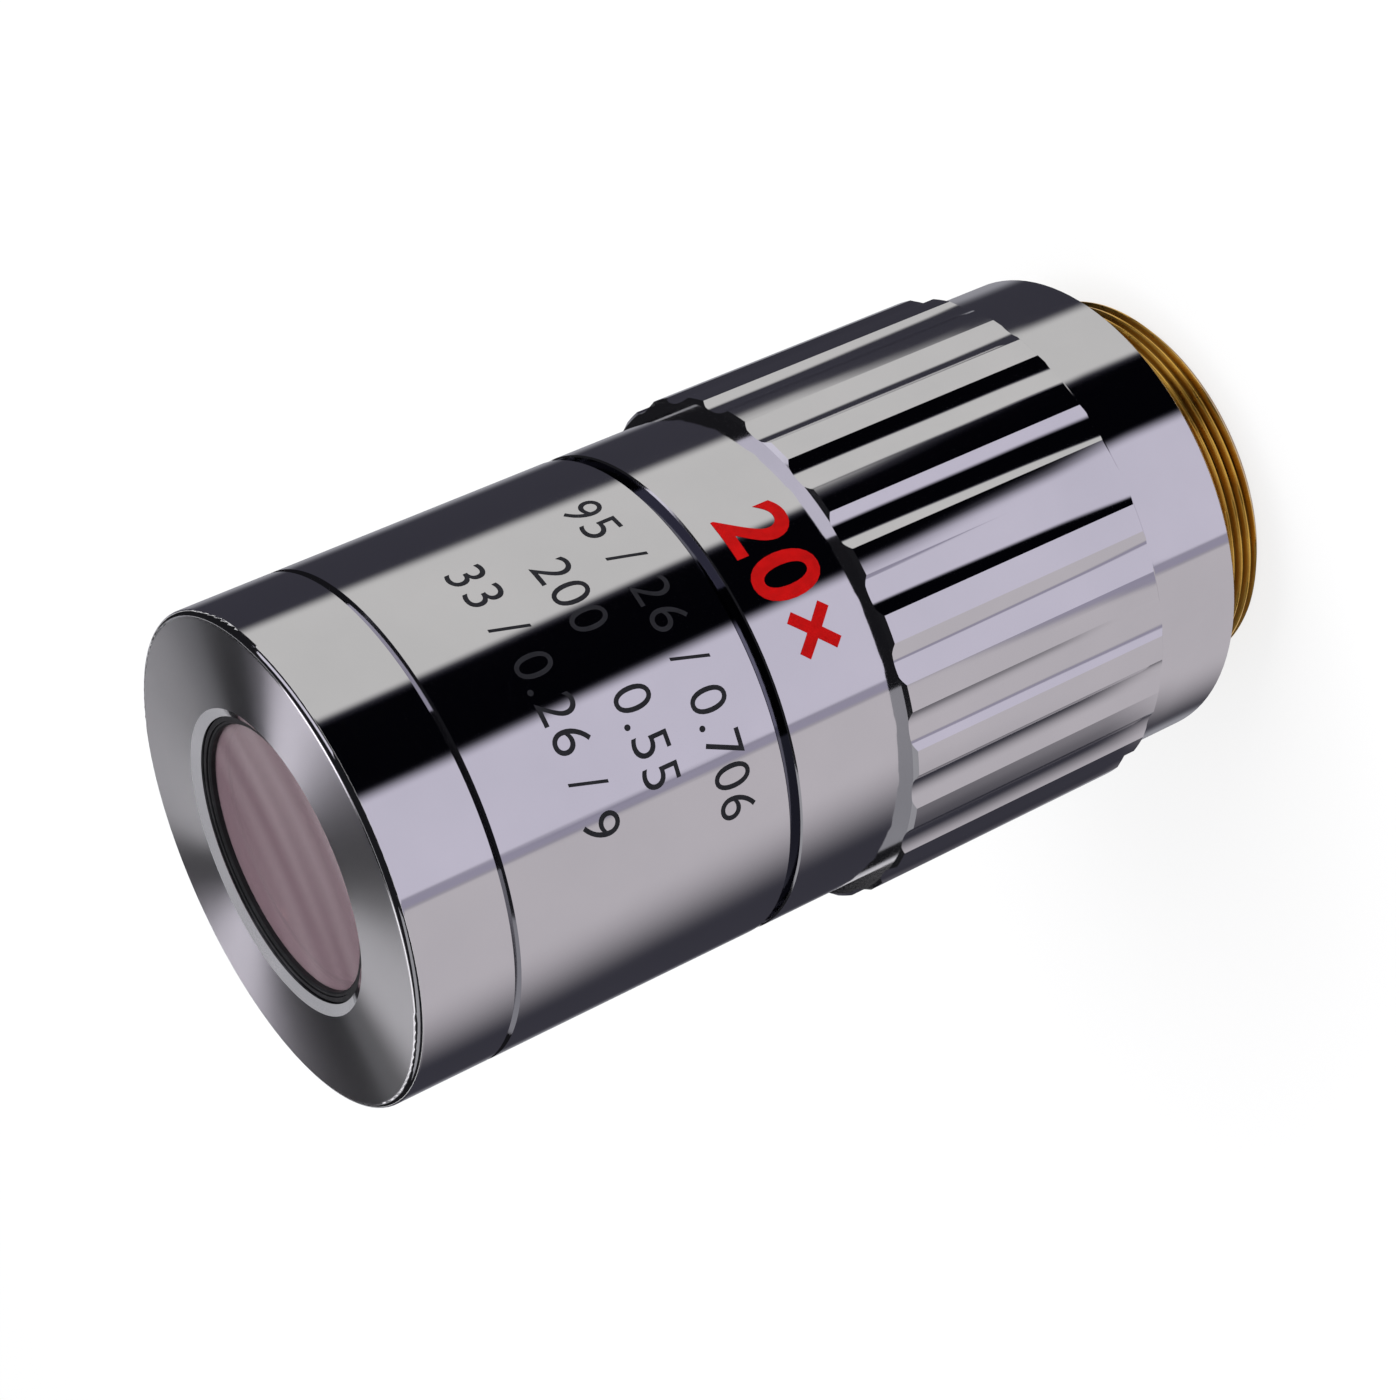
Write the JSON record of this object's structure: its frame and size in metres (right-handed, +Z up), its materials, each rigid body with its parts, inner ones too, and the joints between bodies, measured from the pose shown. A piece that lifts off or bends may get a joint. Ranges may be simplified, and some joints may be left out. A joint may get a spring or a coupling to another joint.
{
  "type": "microscope objective",
  "caption": "Chrome barrel microscope objective with a fluted grip, a recessed coated front lens, a stacked lens train inside and a bare brass mounting thread at its rear.",
  "frame": {"origin": "on the optical axis, at the rear end face of the mounting thread, which the objective stands on", "axes": "+Z up the optical axis from the thread to the front lens; -Y is the side that the markings face"},
  "size_m": [0.0338, 0.0338, 0.067],
  "materials": {
    "chrome_shell": "bright plate over turned brass, with a fine turned grain on the front face",
    "brass_thread": "bare turned brass, a little dulled",
    "black_alloy": "black anodised, matt",
    "black_brass": "chemically blackened",
    "steel_shim": "ground flat",
    "coated_glass": "polished, with a mauve anti-reflection coating",
    "crown_glass": "polished",
    "flint_glass": "polished"
  },
  "bodies": {
    "root": {"mount_ring": "brass_thread", "grip_body": "chrome_shell", "barrel_sleeve": "chrome_shell", "nose_cap": "chrome_shell", "parfocal_shim": "steel_shim", "lens_tube": "black_alloy", "front_cell": "black_alloy", "front_retainer": "black_alloy", "front_lens": "coated_glass", "front_spacer": "black_alloy", "front_doublet_cell": "black_brass", "front_doublet_crown": "crown_glass", "front_doublet_flint": "flint_glass", "middle_spacer": "black_alloy", "middle_doublet_cell": "black_brass", "middle_doublet_flint": "flint_glass", "middle_doublet_crown": "crown_glass", "triplet_spacer": "black_alloy", "triplet_cell": "black_brass", "triplet_upper_crown": "crown_glass", "triplet_flint": "flint_glass", "triplet_lower_crown": "crown_glass", "rear_spacer": "black_alloy", "rear_doublet_cell": "black_brass", "rear_doublet_meniscus": "flint_glass", "rear_doublet_negative": "coated_glass", "aperture_stop": "black_alloy", "retaining_ring": "black_alloy"}
  },
  "joints": []
}
